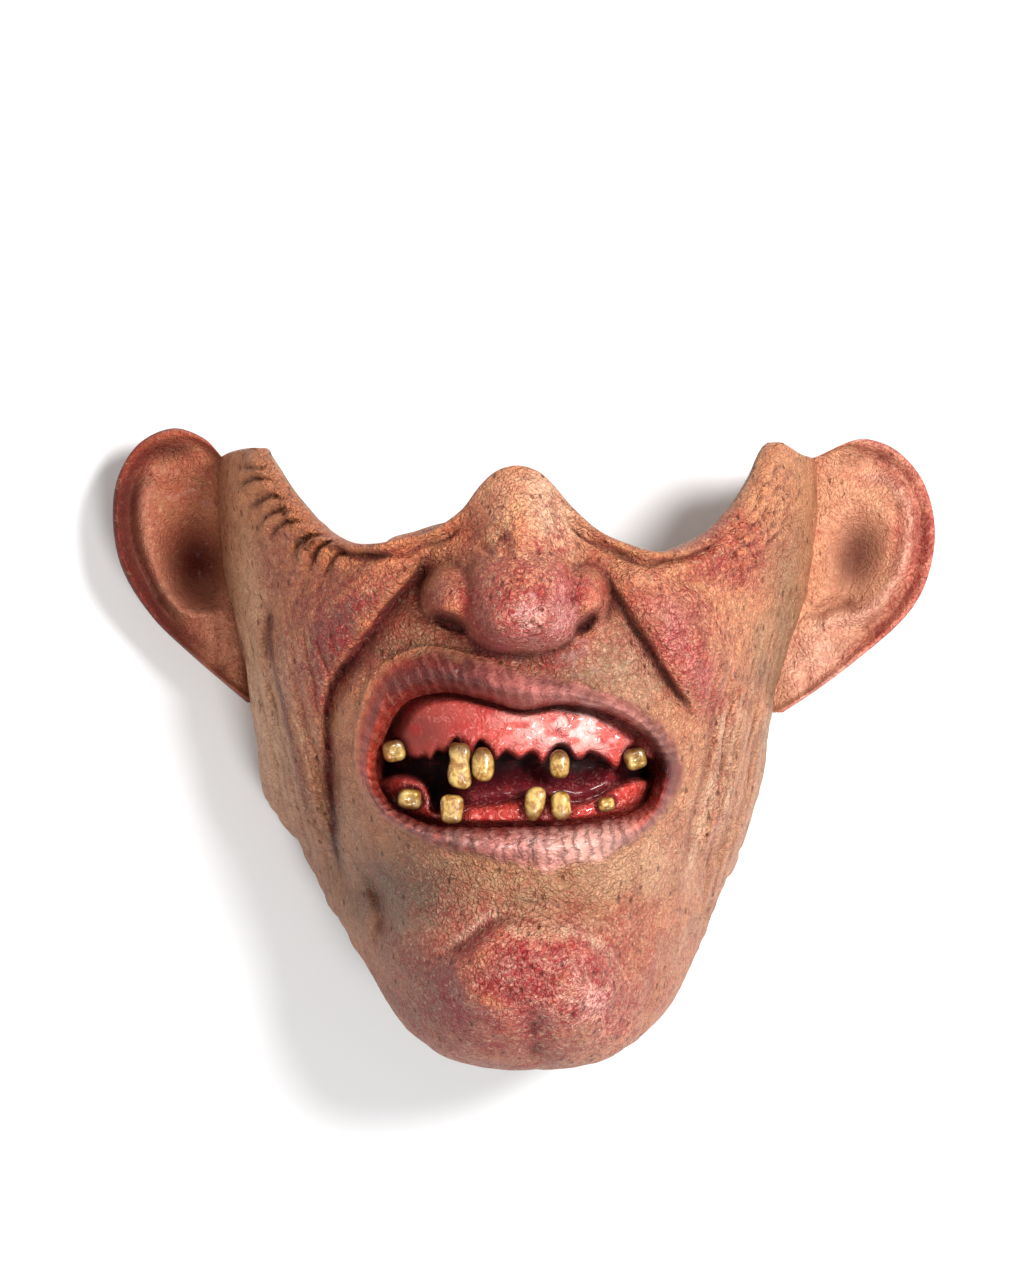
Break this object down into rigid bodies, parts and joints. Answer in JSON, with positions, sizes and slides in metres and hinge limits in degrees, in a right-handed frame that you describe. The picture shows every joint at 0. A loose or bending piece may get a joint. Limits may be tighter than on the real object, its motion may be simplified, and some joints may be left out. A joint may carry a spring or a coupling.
{
  "type": "monster half mask",
  "caption": "Monster half mask covering nose, mouth and chin, with jug ears, snarling lips and a gum insert with crooked teeth, lying face up.",
  "frame": {"origin": "Bottom centre of the bounding box: the middle of the outline seen from the front, at the height of the flat cut rim that the mask lies on.", "axes": "+Z runs out of the face from the open back, +Y up the face from chin to nose bridge, and +X towards the ear on the right as the viewer sees the face."},
  "size_m": [0.2442, 0.186, 0.1332],
  "materials": {
    "latex_skin": "satin painted latex",
    "gum": "wet gloss painted latex",
    "enamel": "gloss, stained"
  },
  "bodies": {
    "root": {"mask_shell": "latex_skin", "mouth_insert": "gum", "tooth_upper_1": "enamel", "tooth_upper_2": "enamel", "tooth_upper_3": "enamel", "tooth_upper_4": "enamel", "tooth_upper_5": "enamel", "tooth_lower_1": "enamel", "tooth_lower_2": "enamel", "tooth_lower_3": "enamel", "tooth_lower_4": "enamel", "tooth_lower_5": "enamel"}
  },
  "joints": []
}
